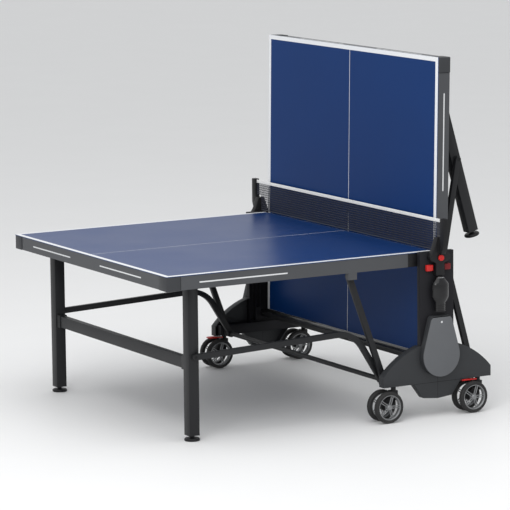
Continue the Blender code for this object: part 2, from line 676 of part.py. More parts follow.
def make_fork():
    """A caster's fork, with its stem on Z at the origin and its axle behind it on -X."""
    half = FORK_THICKNESS / 2
    outline = [(STEM_RADIUS + 0.003, WHEEL_RADIUS * 2 - 0.003), (-0.018, WHEEL_RADIUS * 2 - 0.003)]
    outline += round_end((-TRAIL, WHEEL_RADIUS), 0.021, 150, 315, 8)
    outline += [(STEM_RADIUS + 0.003, WHEEL_RADIUS + 0.042)]
    fork = prism(outline, (-half, half))
    join(fork, rod((0.0, 0.0, WHEEL_RADIUS * 2 - 0.012), (0.0, 0.0, BEAM_BOTTOM - GAP), STEM_RADIUS))
    return cut(fork, rod((-TRAIL, -half - 0.01, WHEEL_RADIUS), (-TRAIL, half + 0.01, WHEEL_RADIUS),
                         AXLE_RADIUS + RUNNING_GAP))


def make_wheels():
    """A pair of wheels on one axle, turned as one piece about Y at the origin."""
    inner = WHEEL_GAP / 2
    outer = inner + WHEEL_WIDTH
    shoulder = 0.005
    rim = WHEEL_RADIUS - 0.014
    wheel = [(0.0, outer - 0.004), (0.012, outer - 0.004), (0.016, outer - 0.010),
             (rim - 0.004, outer - 0.010), (rim, outer - 0.001),
             (WHEEL_RADIUS - shoulder, outer), (WHEEL_RADIUS, outer - shoulder),
             (WHEEL_RADIUS, inner + shoulder), (WHEEL_RADIUS - shoulder, inner), (rim, inner + 0.001),
             (rim - 0.004, inner + 0.006), (0.014, inner + 0.006), (0.012, inner), (AXLE_RADIUS, inner)]
    profile = wheel + [(radius, -height) for radius, height in reversed(wheel)]
    pair = turned(profile)
    return turn_mesh(pair, Matrix.Rotation(math.pi / 2, 4, "X"))


def make_pedal():
    """A brake pedal that lies over the wheels' gap, hinged at the origin."""
    half = FORK_THICKNESS / 2
    outline = [(0.002, -0.0025), (0.002, PEDAL_THICKNESS - 0.003),
               (-PEDAL_LENGTH + 0.010, PEDAL_THICKNESS - 0.001),
               (-PEDAL_LENGTH, PEDAL_THICKNESS - 0.004), (-PEDAL_LENGTH + 0.004, -0.0015)]
    return prism(outline, (-half, half))


def build_casters(chassis, coats):
    pedal_casters = (("near", "b"), ("far", "a"))
    for word, side in (("near", -1), ("far", 1)):
        for letter, direction in (("a", -1), ("b", 1)):
            name = f"{word}_{letter}"
            swivel = pivot(f"swivel_{name}", chassis, (direction * CASTER_X, side * CASTER_Y, 0.0))
            place(make_fork(), f"caster_fork_{name}", coats["plastic"], swivel)
            place(make_wheels(), f"caster_wheels_{name}", coats["rubber"], swivel,
                  (-TRAIL, 0.0, WHEEL_RADIUS))
            if (word, letter) in pedal_casters:
                place(make_pedal(), f"brake_pedal_{name}", coats["red"], swivel,
                      (-STEM_RADIUS - 0.005, 0.0, WHEEL_RADIUS * 2 + 0.004))


# ---------------------------------------------------------------- net and column fittings

def make_net():
    """The net with its top tape: one thin solid, notched at each end for the foot of the post."""
    end = POST_INNER_FACE - GAP
    half, tape_half = NET_THICKNESS / 2, TAPE_THICKNESS / 2
    tape_bottom = NET_TOP - TAPE_WIDTH
    outline = [(half, NET_BOTTOM), (half, tape_bottom), (tape_half, tape_bottom), (tape_half, NET_TOP),
               (-tape_half, NET_TOP), (-tape_half, tape_bottom), (-half, tape_bottom), (-half, NET_BOTTOM)]
    net = prism(outline, (-end, end))
    for side in (-1, 1):
        cut(net, box((-TAPE_THICKNESS, TAPE_THICKNESS), across(side, COLUMN_FACE, POST_OUTER_FACE),
                     (NET_BOTTOM - 0.005, POST_FOOT_TOP + GAP)))
    return net


def make_net_post(side):
    """The post with its foot and the bracket that clamps it to the column."""
    shield_half = [(0.022, 0.655), (0.022, 0.712), (0.052, 0.726), (0.055, 0.742),
                   (0.034, 0.775), (0.016, 0.828)]
    outline = shield_half + [(-x, z) for x, z in reversed(shield_half)]
    post = prism(outline, across(side, MOUNTING_FACE, MOUNTING_FACE + BRACKET_DEPTH))
    stem = [(POST_OUTER_FACE, NET_TOP + 0.004), (POST_OUTER_FACE, 0.800), (POST_OUTER_FACE - 0.019, 0.756),
            (MOUNTING_FACE + BRACKET_DEPTH / 2, 0.756), (MOUNTING_FACE + BRACKET_DEPTH / 2, 0.800),
            (POST_INNER_FACE, POST_FOOT_TOP), (POST_INNER_FACE, NET_TOP + 0.004)]
    rail = prism([(y, z) for y, z in stem], (-POST_HALF_WIDTH, POST_HALF_WIDTH))
    turn_mesh(rail, Matrix.Rotation(side * math.pi / 2, 4, "Z"))
    return join(post, rail)


def make_knob(side):
    """A red adjusting knob, turned about Y at the origin."""
    profile = [(0.0, 0.0), (KNOB_RADIUS, 0.0), (KNOB_RADIUS, KNOB_DEPTH - 0.003),
               (KNOB_RADIUS - 0.003, KNOB_DEPTH), (0.0, KNOB_DEPTH)]
    return turn_mesh(turned(profile), Matrix.Rotation(-side * math.pi / 2, 4, "X"))


def make_ball_tube():
    """A bottle-shaped tube for balls, open at its foot, flattened against the column."""
    neck, mouth, wall = BALL_TUBE_NECK, BALL_TUBE_MOUTH, BALL_TUBE_WALL
    top, bottom = BALL_TUBE_TOP, BALL_TUBE_BOTTOM
    shoulder, belly, waist = top - 0.034, bottom + 0.065, bottom + 0.040
    outer = [(0.0, top), (neck, top), (BALL_TUBE_RADIUS, shoulder), (BALL_TUBE_RADIUS, belly),
             (mouth, waist), (mouth, bottom)]
    inner = [(mouth - wall, bottom), (mouth - wall, waist), (BALL_TUBE_RADIUS - wall, belly),
             (BALL_TUBE_RADIUS - wall, shoulder), (neck - wall, top - wall), (0.0, top - wall)]
    tube = turned(outer + inner)
    return turn_mesh(tube, Matrix.Diagonal((1.0, BALL_TUBE_HALF_DEPTH / BALL_TUBE_RADIUS, 1.0, 1.0)))


def pear_outline(inset=0.0, top_drop=0.0):
    """Round below and narrower above: the outline of a bat, held blade down."""
    radius = BAT_BOX_RADIUS - inset
    width = BAT_BOX_TOP_HALF_WIDTH - inset
    top = BAT_BOX_TOP - top_drop
    corner = Vector((width, top - BAT_BOX_CENTRE_HEIGHT))
    tangent = math.degrees(math.atan2(corner.y, corner.x) - math.acos(radius / corner.length))
    arc = round_end((0.0, BAT_BOX_CENTRE_HEIGHT), radius, tangent, -180.0 - tangent, 24)
    edge = 0.010
    return [(width - edge, top), (width, top - edge)] + arc + [(-width, top - edge), (-width + edge, top)]


def make_bat_box(side):
    back, front = POD_FACE + GAP, POD_FACE + BAT_BOX_DEPTH
    shell = prism(pear_outline(), across(side, back, front))
    pocket = prism(pear_outline(BAT_BOX_WALL, BAT_BOX_WALL), across(side, back + BAT_BOX_WALL, front + 0.01))
    return cut(shell, pocket)


def make_bat_lid(side):
    front = POD_FACE + BAT_BOX_DEPTH + GAP
    lid = prism(pear_outline(0.0, 0.006), across(side, front, front + LID_THICKNESS))
    return turn_mesh(lid, Matrix.Translation((0.0, -side * (front + LID_THICKNESS), -LID_HINGE_HEIGHT)))


def build_chassis(chassis, coats):
    place(make_middle_bar(), "middle_bar", coats["frame"], chassis)
    place(make_net(), "net", coats["net"], chassis)
    for letter, direction in (("a", -1), ("b", 1)):
        place(make_cross_tube(direction), f"cross_tube_{letter}", coats["frame"], chassis)
    for word, side in (("near", -1), ("far", 1)):
        place(make_upright(side), f"upright_{word}", coats["panel"], chassis)
        place(make_pod(side), f"pod_{word}", coats["pod"], chassis)
        place(make_net_post(side), f"net_post_{word}", coats["plastic"], chassis)
        place(make_knob(side), f"net_knob_{word}", coats["red"], chassis,
              (0.0, side * (MOUNTING_FACE + BRACKET_DEPTH + GAP), KNOB_HEIGHT))
        tube_place = (0.0, side * (MOUNTING_FACE + BALL_TUBE_HALF_DEPTH + GAP), 0.0)
        place(make_ball_tube(), f"ball_tube_{word}", coats["smoke"], chassis, tube_place)
        place(make_bat_box(side), f"bat_box_{word}", coats["pod"], chassis)
        lid_place = (0.0, side * (POD_FACE + BAT_BOX_DEPTH + GAP + LID_THICKNESS), LID_HINGE_HEIGHT)
        place(make_bat_lid(side), f"bat_lid_{word}", coats["lid"], chassis, lid_place)
        for letter, direction in (("a", -1), ("b", 1)):
            button = box((direction * BUTTON_INNER, direction * BUTTON_OUTER),
                         across(side, MOUNTING_FACE, MOUNTING_FACE + BUTTON_DEPTH),
                         (BUTTON_BOTTOM, BUTTON_TOP), round_edges=0.003)
            place(button, f"release_button_{word}_{letter}", coats["red"], chassis)


def centre_on_origin(root):
    """Slide the whole table along X so that the middle of its length is over the origin."""
    bpy.context.view_layer.update()
    reach = [(thing.matrix_world @ vertex.co).x for thing in bpy.context.scene.objects
             if thing.type == "MESH" for vertex in thing.data.vertices]
    root.location.x = -(min(reach) + max(reach)) / 2


def main():
    for thing in list(bpy.data.objects):
        bpy.data.objects.remove(thing)
    coats = {
        "board": paint("blue_board", (0.010, 0.035, 0.190), 0.35),
        "apron": paint("graphite_apron", (0.090, 0.095, 0.100), 0.42, 0.6),
        "cap": paint("cap_plastic", (0.060, 0.064, 0.068), 0.45),
        "frame": paint("frame_lacquer", (0.045, 0.047, 0.050), 0.40, 0.3),
        "steel": paint("shaft_steel", (0.30, 0.30, 0.31), 0.35, 1.0),
        "panel": paint("graphite_panel", (0.130, 0.135, 0.140), 0.45, 0.3),
        "lid": paint("lid_plastic", (0.150, 0.155, 0.160), 0.55),
        "pod": paint("pod_plastic", (0.045, 0.048, 0.050), 0.50),
        "plastic": paint("black_plastic", (0.015, 0.015, 0.016), 0.45),
        "smoke": paint("smoked_plastic", (0.010, 0.010, 0.011), 0.20),
        "rubber": paint("tyre_rubber", (0.020, 0.020, 0.021), 0.75),
        "red": paint("red_plastic", (0.620, 0.030, 0.025), 0.35),
        "net": paint("net_mesh", (0.020, 0.022, 0.028), 0.80),
    }
    root = pivot("table_origin", None, (0.0, 0.0, 0.0))
    build_chassis(root, coats)
    build_casters(root, coats)
    build_half("a", -1, False, root, coats)
    build_half("b", 1, True, root, coats)
    centre_on_origin(root)


main()
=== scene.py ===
"""The looks of a folding table tennis table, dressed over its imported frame.

X runs along the table, Y across it along the net and Z up. Half "a" is down for play and half "b"
stands upright behind the net. A piece that belongs to a half is made with X running out from its
net edge and Z up from its playing surface, and is then laid on that half.
"""
import json
import math

import bmesh
import bpy
from mathutils import Matrix, Vector


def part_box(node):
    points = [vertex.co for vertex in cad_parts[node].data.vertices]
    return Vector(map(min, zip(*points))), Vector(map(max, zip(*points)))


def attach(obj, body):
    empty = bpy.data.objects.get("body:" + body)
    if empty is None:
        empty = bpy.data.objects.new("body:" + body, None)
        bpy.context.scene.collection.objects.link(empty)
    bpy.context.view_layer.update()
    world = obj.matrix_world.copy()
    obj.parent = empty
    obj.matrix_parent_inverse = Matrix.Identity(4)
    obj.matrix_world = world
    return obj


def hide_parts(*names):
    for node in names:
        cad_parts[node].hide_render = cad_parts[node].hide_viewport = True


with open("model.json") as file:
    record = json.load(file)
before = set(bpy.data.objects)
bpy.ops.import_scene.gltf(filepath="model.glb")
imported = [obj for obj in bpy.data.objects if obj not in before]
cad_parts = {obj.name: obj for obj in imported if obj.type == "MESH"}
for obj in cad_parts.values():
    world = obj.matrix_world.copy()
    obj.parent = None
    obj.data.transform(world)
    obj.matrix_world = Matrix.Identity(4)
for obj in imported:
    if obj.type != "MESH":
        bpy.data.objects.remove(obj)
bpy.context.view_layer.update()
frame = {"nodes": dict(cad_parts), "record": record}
record = frame["record"]
body_of_node = {node: body for body, nodes in record["behaviour"]["bodies"].items() for node in nodes}
joints = {joint["name"]: joint for joint in record["behaviour"]["joints"]}

NET_X = sum(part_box("net")[i].x for i in (0, 1)) / 2
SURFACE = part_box("board_a")[1].z
HALF_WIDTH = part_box("board_a")[1].y
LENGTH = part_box("board_a")[1].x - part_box("board_a")[0].x
NET_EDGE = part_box("board_a")[1].x
PIN_A = Vector(joints["fold_a"]["pos_m"])
PIN_B = Vector(joints["fold_b"]["pos_m"])
PIN_ALONG = NET_EDGE - PIN_A.x
PIN_DEPTH = SURFACE - PIN_A.z
FOLD = math.radians(joints["fold_b"]["range_deg"][1])
SIDES = {"near": -1, "far": 1}
HALVES = {"a": -1, "b": 1}
APRON_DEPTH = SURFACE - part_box("hinge_block_near_a")[0].z
BRACE_DROP = 0.3207
LINE = 0.020
CENTRE_LINE = 0.003
LACQUER_DEPTH = 0.0012
BOARD_DEPTH = 0.0205
SKIN_DEPTH = 0.0042
STRIPE_START, STRIPE_END = 0.757, 1.2015
CORD_PITCH = 0.0105
POD_SEAM_TOP = 0.190
KEEL_SEAM = 0.160
KEEL_HALF = 0.127

REST_PLACE = {
    "a": Matrix.Translation((NET_EDGE, 0.0, SURFACE)) @ Matrix.Rotation(math.pi, 4, "Z"),
    "b": (Matrix.Translation(PIN_B) @ Matrix.Rotation(-FOLD, 4, "Y")
          @ Matrix.Translation((-PIN_ALONG, 0.0, PIN_DEPTH))),
}


# ------------------------------------------------------------------ finishes

class Level:
    """A value that changes over a surface; arithmetic on it adds Math nodes."""

    def __init__(self, finish, socket):
        self.finish = finish
        self.socket = socket

    def math(self, operation, first, second=0.0):
        made = self.finish.node("ShaderNodeMath", {"operation": operation}, {0: first, 1: second})
        return Level(self.finish, made.outputs[0])

    def __add__(self, other):
        return self.math("ADD", self, other)

    def __sub__(self, other):
        return self.math("SUBTRACT", self, other)

    def __mul__(self, other):
        return self.math("MULTIPLY", self, other)

    def __truediv__(self, other):
        return self.math("DIVIDE", self, other)

    def __rsub__(self, other):
        return self.math("SUBTRACT", other, self)

    def __gt__(self, other):
        return self.math("GREATER_THAN", self, other)

    def __lt__(self, other):
        return self.math("LESS_THAN", self, other)

    def __abs__(self):
        return self.math("ABSOLUTE", self)

    def most(self, other):
        return self.math("MAXIMUM", self, other)

    __radd__ = __add__
    __rmul__ = __mul__


class Finish:
    """A surface finish: one Principled shader with patterns that lie in the object's own space."""

    def __init__(self, name, roughness=0.5, metallic=0.0, coat=0.0, sheen=0.0, specular=0.5):
        self.material = bpy.data.materials.new(name)
        self.material.use_nodes = True
        self.tree = self.material.node_tree
        self.shader = self.tree.nodes["Principled BSDF"]
        self.shader.inputs["Roughness"].default_value = roughness
        self.shader.inputs["Metallic"].default_value = metallic
        self.shader.inputs["Coat Weight"].default_value = coat
        self.shader.inputs["Sheen Weight"].default_value = sheen
        self.shader.inputs["Specular IOR Level"].default_value = specular
        self.place = self.node("ShaderNodeTexCoord", {}, {}).outputs["Object"]

    def node(self, kind, settings, sockets):
        made = self.tree.nodes.new(kind)
        for name, value in settings.items():
            if name == "stops":
                ramp = made.color_ramp.elements
                for index, (position, colour) in enumerate(value):
                    glint = ramp[index] if index < 2 else ramp.new(position)
                    glint.position = position
                    glint.color = (*colour, 1.0)
            else:
                setattr(made, name, value)
        for name, value in sockets.items():
            value = value.socket if isinstance(value, Level) else value
            if isinstance(value, bpy.types.NodeSocket):
                self.tree.links.new(value, made.inputs[name])
            else:
                made.inputs[name].default_value = value
        return made

    def noise(self, scale, detail=3.0, stretch=(1.0, 1.0, 1.0)):
        """Cloudy variation about 0.5; scale is in waves per metre."""
        where = self.node("ShaderNodeVectorMath", {"operation": "MULTIPLY"}, {0: self.place, 1: stretch})
        sockets = {"Vector": where.outputs[0], "Scale": scale, "Detail": detail}
        made = self.node("ShaderNodeTexNoise", {}, sockets)
        return Level(self, made.outputs[0])

    def axes(self):
        made = self.node("ShaderNodeSeparateXYZ", {}, {0: self.place})
        return [Level(self, socket) for socket in made.outputs]

    def blend(self, amount, first, second):
        """The first colour where amount is 0, the second where it is 1."""
        sockets = {0: amount}
        for index, colour in ((6, first), (7, second)):
            sockets[index] = (*colour, 1.0) if isinstance(colour, tuple) else colour
        return self.node("ShaderNodeMix", {"data_type": "RGBA"}, sockets).outputs[2]

    def set(self, name, value):
        value = value.socket if isinstance(value, Level) else value
        self.tree.links.new(value, self.shader.inputs[name])

    def relief(self, height, depth):
        """Fine relief, depth in metres from the lowest to the highest."""
        bump = self.node("ShaderNodeBump", {}, {"Height": height, "Strength": 1.0, "Distance": depth})
        self.set("Normal", bump.outputs[0])


def shade(colour, factor):
    return tuple(min(1.0, part * factor) for part in colour)


def coated(name, colour, roughness, grain, depth, metallic=0.0, coat=0.0, spread=0.12, cloud=6.0,
           specular=0.25):
    """Powder coat or moulded plastic: fine grain, cloudy gloss, and a little wear in the colour."""
    finish = Finish(name, roughness, metallic, coat, specular=specular)
    clouds = finish.noise(cloud)
    fine = finish.noise(grain, 2.0)
    finish.set("Base Color", finish.blend(clouds * 0.7 + fine * 0.3, shade(colour, 1.0 - spread),
                                          shade(colour, 1.0 + spread)))
    finish.set("Roughness", clouds * 0.16 + fine * 0.10 + (roughness - 0.13))
    finish.relief(fine, depth)
    return finish.material


def board_finish(name, letter):
    """Blue lacquer with painted lines and a painted highlight in cream along the net edge; the underside
    keeps its own colour.
    """
    finish = Finish(name, 0.34, specular=0.34 if letter == "a" else 0.12)
    finish.shader.inputs["Specular Tint"].default_value = (0.30, 0.45, 1.0, 1.0)
    x, y, z = finish.axes()
    if letter == "a":
        along = NET_EDGE - x
        depth = SURFACE - z
    else:
        edge = REST_PLACE["b"] @ Vector((0.0, 0.0, 0.0))
        across = x - edge.x
        rise = z - edge.z
        along = across * math.cos(FOLD) + rise * math.sin(FOLD)
        depth = across * math.sin(FOLD) - rise * math.cos(FOLD)
    side = abs(y)
    on_top = depth < LACQUER_DEPTH
    lines = (side > HALF_WIDTH - LINE).most(along > LENGTH - LINE).most(side < CENTRE_LINE / 2) * on_top
    clouds = finish.noise(3.0, 4.0)
    fine = finish.noise(900.0, 2.0)
    blue = finish.blend(clouds * 0.6 + fine * 0.4, (0.003, 0.027, 0.118), (0.005, 0.036, 0.150))
    under = finish.blend(fine, (0.020, 0.022, 0.026), (0.034, 0.036, 0.042))
    edged = finish.blend(depth > SKIN_DEPTH, blue, under)
    # painted highlight: the net edge of the board is coloured cream to stand for a bright line of light along
    # it
    with_edge_highlight = finish.blend((along < 0.0006) * (depth < BOARD_DEPTH), edged, (0.55, 0.52, 0.46))
    finish.set("Base Color", finish.blend(lines, with_edge_highlight, (0.78, 0.79, 0.80)))
    finish.set("Roughness", clouds * 0.10 + fine * 0.12 + 0.24)
    finish.relief(fine, 0.00008)
    return finish.material


def pod_finish():
    """Moulded plastic with the joint lines where the pod's panels meet."""
    finish = Finish("dark_pod_plastic", 0.52, specular=0.25)
    x, y, z = finish.axes()
    out = abs(x - NET_X)
    seam_half = 0.0009
    upright_seam = (out < seam_half) * (z < POD_SEAM_TOP)
    keel_seam = (abs(z - KEEL_SEAM) < seam_half) * (out < KEEL_HALF)
    clouds = finish.noise(6.0)
    fine = finish.noise(700.0, 2.0)
    plain = finish.blend(clouds * 0.7 + fine * 0.3, (0.028, 0.030, 0.033), (0.036, 0.038, 0.041))
    finish.set("Base Color", finish.blend(upright_seam.most(keel_seam), plain, (0.004, 0.004, 0.005)))
    finish.set("Roughness", clouds * 0.16 + fine * 0.10 + 0.39)
    finish.relief(fine, 0.00012)
    return finish.material


def rubber_finish():
    finish = Finish("tyre_rubber", 0.7, specular=0.35)
    fine = finish.noise(700.0, 3.0)
    dust = finish.noise(25.0, 4.0)
    low = finish.axes()[2] < 0.012
    worn = finish.blend(dust * fine * 1.6, (0.010, 0.010, 0.011), (0.030, 0.029, 0.028))
    finish.set("Base Color", finish.blend(low * dust * 0.5, worn, (0.075, 0.072, 0.068)))
    finish.set("Roughness", dust * 0.25 + 0.52)
    finish.relief(fine, 0.00015)
    return finish.material


def cloth_finish(name, light, dark, threads, roughness, sheen):
    """Woven threads crossing along Y and Z."""
    finish = Finish(name, roughness, sheen=sheen)
    x, y, z = finish.axes()
    step = 2.0 * math.pi * threads
    warp = abs((y * step).math("SINE", y * step))
    weft = abs((z * step).math("SINE", z * step))
    weave = warp * 0.5 + weft * 0.5
    soil = finish.noise(14.0, 4.0)
    finish.set("Base Color", finish.blend(weave * 0.7 + soil * 0.3, dark, light))
    finish.set("Roughness", soil * 0.2 + (roughness - 0.1))
    finish.relief(weave, 0.0003)
    return finish.material


FINISHES = {
    "board_a": board_finish("blue_top_down", "a"),
    "board_b": board_finish("blue_top_upright", "b"),
    "apron": coated("graphite_powder_coat", (0.085, 0.088, 0.094), 0.40, 1100.0, 0.00006, 0.45),
    "cap": coated("charcoal_corner_plastic", (0.040, 0.042, 0.046), 0.46, 800.0, 0.00008),
    "frame": coated("charcoal_powder_coat", (0.015, 0.0155, 0.017), 0.42, 1000.0, 0.00006),
    "panel": coated("graphite_panel", (0.012, 0.012, 0.0145), 0.52, 900.0, 0.00006, specular=0.18),
    "lid": coated("grey_lid_plastic", (0.115, 0.120, 0.128), 0.60, 650.0, 0.00014),
    "pod": pod_finish(),
    "plastic": coated("black_plastic", (0.008, 0.008, 0.009), 0.45, 750.0, 0.00010),
    "smoke": coated("black_gloss_plastic", (0.006, 0.006, 0.007), 0.20, 400.0, 0.00002, coat=0.3),
    "red": coated("red_plastic", (0.520, 0.020, 0.018), 0.36, 600.0, 0.00005, coat=0.1),
    # painted shade: a darker copy of the red plastic for the release buttons that sit in the net bracket's
    # shadow
    "shaded_red": coated("red_plastic_painted_shade", (0.160, 0.010, 0.012), 0.40, 600.0, 0.00005),
    "steel": coated("turned_steel", (0.36, 0.36, 0.37), 0.32, 500.0, 0.00002, 1.0),
    "rim": coated("grey_rim_plastic", (0.230, 0.235, 0.240), 0.34, 300.0, 0.00002, 0.55),
    "strip": coated("pale_grey_strip", (0.66, 0.67, 0.68), 0.45, 900.0, 0.00003),
    "tyre": rubber_finish(),
    "net": cloth_finish("net_cord", (0.007, 0.012, 0.034), (0.003, 0.005, 0.016), 1400.0, 0.85, 0.2),
    "tape": cloth_finish("white_tape", (0.80, 0.80, 0.79), (0.62, 0.62, 0.61), 900.0, 0.80, 0.3),
}


# ------------------------------------------------------------------ making pieces

def piece(shape, name, body, finish, sharp=32.0):
    """Turn a bmesh in its resting place into a finished piece that rides on a body."""
    bmesh.ops.remove_doubles(shape, verts=shape.verts, dist=0.000005)
    bmesh.ops.recalc_face_normals(shape, faces=shape.faces)
    mesh = bpy.data.meshes.new(name)
    shape.to_mesh(mesh)
    shape.free()
    mesh.materials.append(FINISHES[finish])
    mesh.shade_smooth()
    mesh.set_sharp_from_angle(angle=math.radians(sharp))
    made = bpy.data.objects.new(name, mesh)
    bpy.context.scene.collection.objects.link(made)
    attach(made, body)
    return made


def block(shape, low, high, edge=0.0, segments=2):
    """Add a block with rounded edges to a bmesh and return its vertices."""
    low, high = Vector(low), Vector(high)
    place = Matrix.Translation((low + high) / 2) @ Matrix.Diagonal(high - low).to_4x4()
    verts = bmesh.ops.create_cube(shape, size=1.0, matrix=place)["verts"]
    if edge:
        edges = list({item for vert in verts for item in vert.link_edges})
        rounded = bmesh.ops.bevel(shape, geom=edges, offset=edge, affect="EDGES", segments=segments,
                                  profile=0.5, material=-1)
        verts = list({vert for face in rounded["faces"] for vert in face.verts})
    return verts


def lathe(shape, profile, steps=40, axis="Y", centre=(0.0, 0.0, 0.0)):
    """Turn a profile of (radius, distance along the axis) about an axis through the centre."""
    ring = [shape.verts.new((radius, 0.0, along)) for radius, along in profile]
    edges = [shape.edges.new(pair) for pair in zip(ring, ring[1:])]
    made = bmesh.ops.spin(shape, geom=ring + edges, axis=(0, 0, 1), cent=(0, 0, 0),
                          angle=2.0 * math.pi, steps=steps, use_merge=True)
    verts = set(ring)
    grown = set()
    while verts != grown:
        grown = set(verts)
        verts |= {edge.other_vert(vert) for vert in grown for edge in vert.link_edges}
    turn = {"Z": Matrix.Identity(4), "Y": Matrix.Rotation(-math.pi / 2, 4, "X"),
            "X": Matrix.Rotation(math.pi / 2, 4, "Y")}[axis]
    bmesh.ops.transform(shape, matrix=Matrix.Translation(centre) @ turn, verts=list(verts))
    return list(verts)


def softened(node, finish, edge=0.0012, angle=40.0, name=None):
    """Stand a copy with rounded edges in for a node of the frame."""
    shape = bmesh.new()
    shape.from_mesh(frame["nodes"][node].data)
    bmesh.ops.remove_doubles(shape, verts=shape.verts, dist=0.00002)
    bmesh.ops.dissolve_limit(shape, angle_limit=math.radians(0.5), verts=shape.verts, edges=shape.edges)
    sharp = [item for item in shape.edges
             if len(item.link_faces) == 2 and item.calc_face_angle() > math.radians(angle)]
    bmesh.ops.bevel(shape, geom=sharp, offset=edge, affect="EDGES", segments=2, profile=0.5,
                    material=-1, clamp_overlap=True)
    made = piece(shape, name or f"{node}_moulded", body_of_node[node], finish)
    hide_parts(node)
    return made


def lay(shape, letter):
    """Move a shape made in a half's own space to where that half rests."""
    bmesh.ops.transform(shape, matrix=REST_PLACE[letter], verts=shape.verts)


def bolt_head(shape, centre, side, radius=0.006, height=0.004):
    """A domed bolt head with a round recess, facing out along Y."""
    profile = [(0.0, height * 0.45), (radius * 0.42, height * 0.45), (radius * 0.46, height),
               (radius * 0.75, height * 0.92), (radius, height * 0.4), (radius, 0.0), (0.0, 0.0)]
    lathe(shape, [(r, side * d) for r, d in profile], 18, "Y", centre)


# ------------------------------------------------------------------ tops and aprons

def dress_halves():
    for letter, direction in HALVES.items():
        frame["nodes"][f"board_{letter}"].data.materials.clear()
        frame["nodes"][f"board_{letter}"].data.materials.append(FINISHES[f"board_{letter}"])
        repaint(f"apron_{letter}", "apron")
        repaint(f"carriage_{letter}", "steel")
        for word, world_side in SIDES.items():
            side = world_side * direction
            softened(f"corner_cap_{word}_{letter}", "cap", 0.0008)
            softened(f"hinge_block_{word}_{letter}", "plastic", 0.0015)
            side_strips(letter, word, side)
        end_strips(letter)


def repaint(node, finish):
    mesh = frame["nodes"][node].data
    mesh.materials.clear()
    mesh.materials.append(FINISHES[finish])


def side_strips(letter, word, side):
    """The pale stripe along the side apron, and the seam where the corner cap starts."""
    face = side * (HALF_WIDTH - 0.0023)
    shape = bmesh.new()
    block(shape, (STRIPE_START, min(face, face + side * 0.0008), -0.040),
          (STRIPE_END, max(face, face + side * 0.0008), -0.034), 0.0003, 1)
    lay(shape, letter)
    piece(shape, f"side_stripe_{word}_{letter}", f"top_{letter}", "strip")
    seam = bmesh.new()
    for low, high in (((LENGTH - 0.0725, face), (LENGTH - 0.0703, face + side * 0.0012)),
                      ((LENGTH - 0.0023, side * (HALF_WIDTH - 0.0725)),
                       (LENGTH - 0.0011, side * (HALF_WIDTH - 0.0703)))):
        block(seam, (low[0], min(low[1], high[1]), -APRON_DEPTH + 0.001),
              (high[0], max(low[1], high[1]), -0.0050), 0.0002, 1)
    lay(seam, letter)
    piece(seam, f"cap_seams_{word}_{letter}", f"top_{letter}", "plastic")


def end_strips(letter):
    """The pale stripes along the end apron, left and right of the middle."""
    face = LENGTH - 0.0023
    shape = bmesh.new()
    for low, high in ((-0.57, -0.18), (0.12, 0.52)):
        block(shape, (face, low, -0.039), (face + 0.0008, high, -0.033), 0.0003, 1)
    lay(shape, letter)
    piece(shape, f"end_stripes_{letter}", f"top_{letter}", "strip")


def dress_frames():
    """Legs, links, tubes and feet, with their bolts."""
    for letter in HALVES:
        softened(f"leg_frame_{letter}", "frame", 0.0020)
        for word in SIDES:
            softened(f"strut_{word}_{letter}", "frame", 0.0015)
            softened(f"brace_{word}_{letter}", "frame", 0.0015)
            brace_bolt(word, letter)
            repaint(f"foot_{word}_{letter}", "plastic")
        repaint(f"cross_tube_{letter}", "frame")
    softened("middle_bar", "frame", 0.0010)


def brace_bolt(word, letter):
    """The low bolt head on the outer face of a brace, where it meets the leg."""
    side = SIDES[word]
    hinge = Vector(joints[f"leg_hinge_{letter}"]["pos_m"])
    foot_low, foot_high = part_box(f"foot_{word}_{letter}")
    way = (foot_low + foot_high) / 2 - hinge
    way.y = 0.0
    low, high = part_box(f"brace_{word}_{letter}")
    face = high.y if side > 0 else low.y
    centre = hinge + way.normalized() * BRACE_DROP
    shape = bmesh.new()
    bolt_head(shape, (centre.x, face, centre.z), side, 0.0085, 0.0018)
    piece(shape, f"brace_bolt_{word}_{letter}", f"braces_{letter}", "plastic")


# ------------------------------------------------------------------ casters

